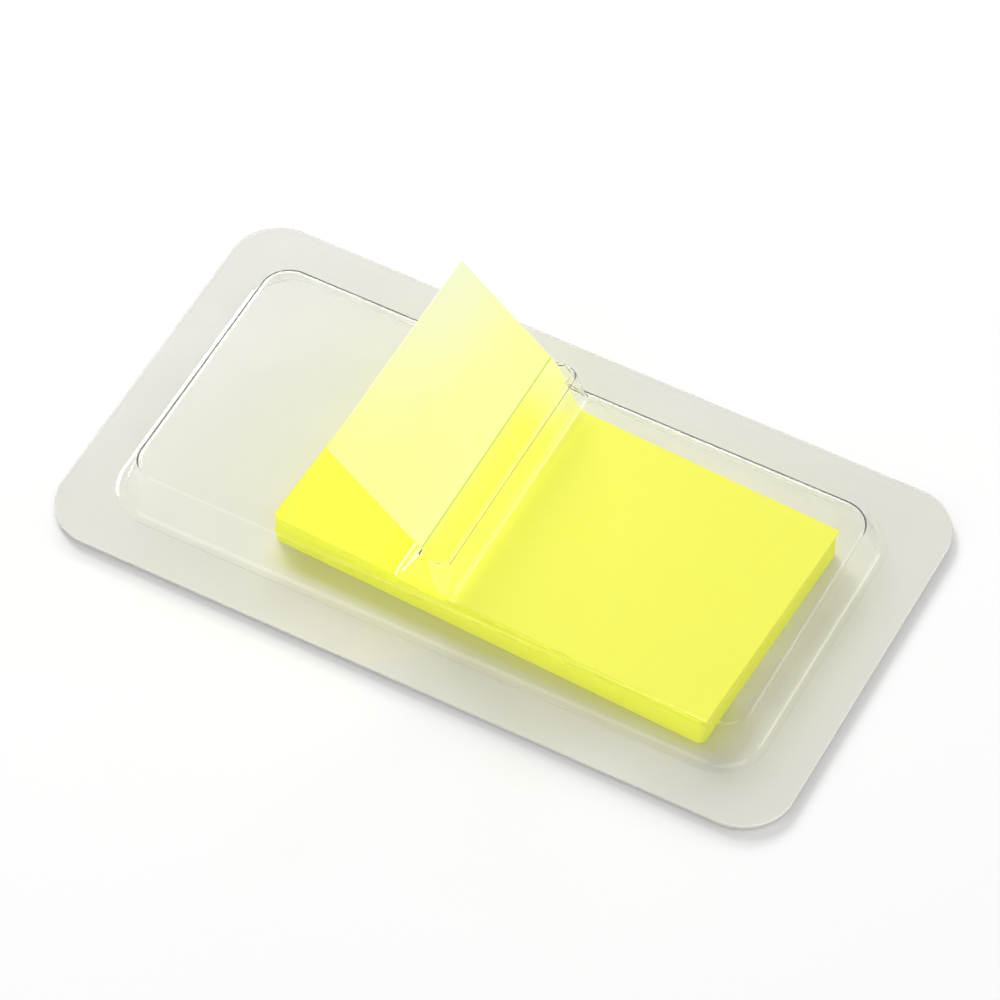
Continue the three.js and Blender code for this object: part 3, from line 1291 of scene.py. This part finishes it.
@dataclass(frozen=True)
class FlagFilm(Finish):
    """One flag by itself: the same film, with painted light: deeper near the lip, paler towards its free
    tip, a shade line at the lip and a glow.
    """

    # Painted light: deeper yellow near the lip, where the pad's light falls, and paler towards the tip,
    # where lamps shine through.
    near: Colour = (0.98, 0.985, 0.29)
    painted_pale_tip: Colour = (0.90, 0.93, 0.61)
    # Painted light: deeper yellow inside the rib, for the pad's yellow light round it.
    inside: Colour = (0.99, 0.995, 0.12)
    inside_back: Colour = (0.93, 0.95, 0.33)
    # Painted shade: a dark green line where the flag bends over the lip.
    painted_lip_shade: Colour = (0.33, 0.47, 0.10)
    passed: Colour = (0.75, 0.78, 0.30)
    # Painted bounce light on the flag's lying part, given as emission.
    painted_bounce: Colour = (0.15, 0.15, 0.0)
    # Painted glow: emission that lifts the flag as light would, full at the lip and less towards the tip.
    glow: float = 0.46
    painted_outside_glow: float = 0.62
    shine: float = 0.3
    pattern: Pattern = Pattern(110.0, 120.0, 0.00002)
    roughness: float = 0.4
    smudged: float = 0.5
    lip_x: float = -1.75
    tip_x: float = -12.2
    half_width: float = 12.5
    painted_pale_at_front: float = 0.12
    back_start: float = 5.0
    lying_range: Span = (0.0, 3.0)
    painted_glow_reach: float = 5.0
    painted_lip_shade_width: float = 0.1
    painted_lip_shade_core: float = 0.3
    painted_lip_shade_strength: float = 0.75

    def build(self) -> bpy.types.Material:
        """Make the material, which lets part of the lamps' light through as yellow.

        Returns:
            The material.
        """
        material, nodes, shader, output = self.start("flag_film")
        here = nodes.add("TexCoord").outputs["Object"]
        split = nodes.add("SeparateXYZ")
        nodes.put(split, 0, here)
        x, y = split.outputs["X"], split.outputs["Y"]
        # Paint the flag deeper yellow near the lip and paler towards its tip.
        along = nodes.remap(x, self.lip_x * MM, self.tip_x * MM)
        across = nodes.remap(
            y, -self.half_width * MM, self.half_width * MM, self.painted_pale_at_front, 1.0
        )
        outside = nodes.blend(nodes.math("MULTIPLY", along, across), self.near, self.painted_pale_tip)
        band = self.painted_lip_shade_width * MM
        passed_lip = nodes.remap(x, self.lip_x * MM - band, self.lip_x * MM + band, 1.0, 0.0)
        lying = nodes.remap(x, self.lying_range[0] * MM, self.lying_range[1] * MM)
        to_back = nodes.remap(y, self.back_start * MM, self.half_width * MM)
        inside = nodes.blend(to_back, self.inside, self.inside_back)
        hidden = nodes.blend(lying, inside, PAD_YELLOW)
        base = nodes.blend(passed_lip, hidden, outside)
        # Paint shade as a dark line along the lip where the flag bends over it.
        off_line = nodes.math("ABSOLUTE", nodes.math("SUBTRACT", x, self.lip_x * MM))
        line = nodes.remap(off_line, self.painted_lip_shade_core * band, band, self.painted_lip_shade_strength, 0.0)
        colour = nodes.blend(line, base, self.painted_lip_shade)
        nodes.put(shader, "Base Color", colour)
        # Paint glow on the flag, full at the lip and less towards its tip.
        painted_glow_start = (self.lip_x - self.painted_glow_reach) * MM
        painted_glow_share = nodes.remap(x, painted_glow_start, self.lip_x * MM, self.painted_outside_glow, 1.0)
        painted_glow_colour = nodes.blend(painted_glow_share, BLACK, colour)
        nodes.put(shader, "Emission Color", nodes.blend(lying, painted_glow_colour, self.painted_bounce))
        nodes.put(shader, "Emission Strength", self.glow)
        nodes.put(shader, "Specular IOR Level", self.shine)
        self.wear(nodes, shader, here)
        clear = nodes.add("BsdfTransparent")
        nodes.put(clear, "Color", (*self.passed, 1))
        mix = nodes.add("MixShader")
        nodes.put(mix, 0, nodes.add("LightPath").outputs["Is Shadow Ray"])
        nodes.put(mix, 1, shader.outputs[0])
        nodes.put(mix, 2, clear.outputs[0])
        nodes.put(output, "Surface", mix.outputs[0])
        return material


# The studio


@dataclass(frozen=True)
class Lamp:
    """A soft lamp turned to the object, which adds a share of a white sheet's brightness."""

    name: str
    direction: tuple[float, float, float]
    distance: float
    size: tuple[float, float]
    share: float

    def add(self) -> None:
        """Add the lamp to the scene, with the power that gives its share on a level sheet."""
        towards = Vector(self.direction).normalized()
        reach = self.distance * MM
        data = bpy.data.lights.new(self.name, "AREA")
        data.shape = "RECTANGLE"
        data.size, data.size_y = self.size[0] * MM, self.size[1] * MM
        data.energy = self.share * (math.pi * reach) ** 2 / towards.z
        lamp = bpy.data.objects.new(self.name, data)
        bpy.context.scene.collection.objects.link(lamp)
        lamp.location = towards * reach
        lamp.rotation_euler = towards.to_track_quat("Z", "Y").to_euler()


@dataclass
class Studio:
    """White floor, soft light from the back left and the camera at the photograph's angle."""

    azimuth: float = 28.275
    elevation: float = 52.774
    distance: float = 535.947
    target: tuple[float, float, float] = (-1.258, 1.792, 0.0)
    lens: float = 206.9
    sensor: float = 36.0
    clip: Span = (0.01, 20.0)
    floor_size: float = 3000.0
    floor_drop: float = 0.55
    floor_colour: Colour = (0.95, 0.95, 0.95)
    floor_lift: float = 0.07
    fill: float = 0.33
    lamps: tuple[Lamp, ...] = (
        Lamp("key", (-0.66, 0.42, 0.62), 600.0, (220.0, 220.0), 0.26),
        Lamp("strip", (-0.48, 0.76, 0.43), 600.0, (480.0, 75.0), 0.17),
        Lamp("top", (0.46, -0.24, 0.86), 600.0, (420.0, 420.0), 0.20),
        Lamp("front", (-0.29, -0.80, 0.53), 600.0, (480.0, 450.0), 0.12),
        Lamp("right", (0.80, 0.53, 0.33), 600.0, (300.0, 240.0), 0.05),
    )

    def build(self) -> None:
        """Set up the whole studio."""
        bpy.context.scene.view_settings.view_transform = "Standard"
        self.camera()
        self.floor()
        self.world()
        for lamp in self.lamps:
            lamp.add()

    def camera(self) -> None:
        """Add the camera on its line of sight to the target."""
        a, e = math.radians(self.azimuth), math.radians(self.elevation)
        back = Vector((math.sin(a) * math.cos(e), -math.cos(a) * math.cos(e), math.sin(e)))
        data = bpy.data.cameras.new("camera")
        data.lens = self.lens
        data.sensor_width = self.sensor
        data.sensor_fit = "HORIZONTAL"
        data.clip_start, data.clip_end = self.clip
        camera = bpy.data.objects.new("camera", data)
        bpy.context.scene.collection.objects.link(camera)
        camera.location = (Vector(self.target) + back * self.distance) * MM
        camera.rotation_euler = back.to_track_quat("Z", "Y").to_euler()
        bpy.context.scene.camera = camera

    def floor(self) -> None:
        """Add the floor, which shows white and keeps the shadow."""
        clear_selection()
        location = (0, 0, -self.floor_drop * MM)
        bpy.ops.mesh.primitive_plane_add(size=self.floor_size * MM, location=location)
        floor = bpy.context.object
        floor.name = "floor"
        material = bpy.data.materials.new("floor")
        material.use_nodes = True
        material.node_tree.nodes.clear()
        nodes = Nodes(material.node_tree)
        paper = nodes.add("BsdfDiffuse")
        nodes.put(paper, "Color", (*self.floor_colour, 1))
        glow = nodes.add("Emission")
        nodes.put(glow, "Strength", nodes.math("MULTIPLY", self.seen(nodes), self.floor_lift))
        both = nodes.add("AddShader")
        nodes.put(both, 0, paper.outputs[0])
        nodes.put(both, 1, glow.outputs[0])
        nodes.put(nodes.add("OutputMaterial"), "Surface", both.outputs[0])
        floor.data.materials.append(material)

    def seen(self, nodes: Nodes) -> bpy.types.NodeSocket:
        """Tell rays that show the surroundings from rays that light the object.

        Args:
            nodes: The nodes of the floor or the world.

        Returns:
            1 for camera, glossy and transmission rays, and 0 for the others.
        """
        path = nodes.add("LightPath").outputs
        mirrored = nodes.math("MAXIMUM", path["Is Glossy Ray"], path["Is Transmission Ray"])
        return nodes.math("MAXIMUM", path["Is Camera Ray"], mirrored)

    def world(self) -> None:
        """Make the surroundings white to look at and softer as a light."""
        world = bpy.data.worlds.new("studio")
        bpy.context.scene.world = world
        world.use_nodes = True
        world.node_tree.nodes.clear()
        nodes = Nodes(world.node_tree)
        strength = nodes.math("MULTIPLY_ADD", self.seen(nodes), 1 - self.fill, self.fill)
        background = nodes.add("Background")
        nodes.put(background, "Strength", strength)
        nodes.put(nodes.add("OutputWorld"), "Surface", background.outputs[0])


def main() -> None:
    """Build the dispenser and the studio."""
    logging.basicConfig(level=logging.INFO, format="%(name)s: %(message)s")
    groups = Groups(marks=handling_marks(), ripple=film_ripple())
    place(Blister().build(), "blister_film", "blister_shell", ClearFilm(groups).build())
    place(Backing().build(), "backing_film", "backing_sheet", MilkyFilm(groups).build())
    place(FlagPad().build(), "pad_of_flags", "flag_pad", PadFilm(groups).build())
    place(RaisedFlag().build(), "popped_flag", "raised_flag", FlagFilm(groups).build())
    Studio().build()


if __name__ == "__main__":
    main()
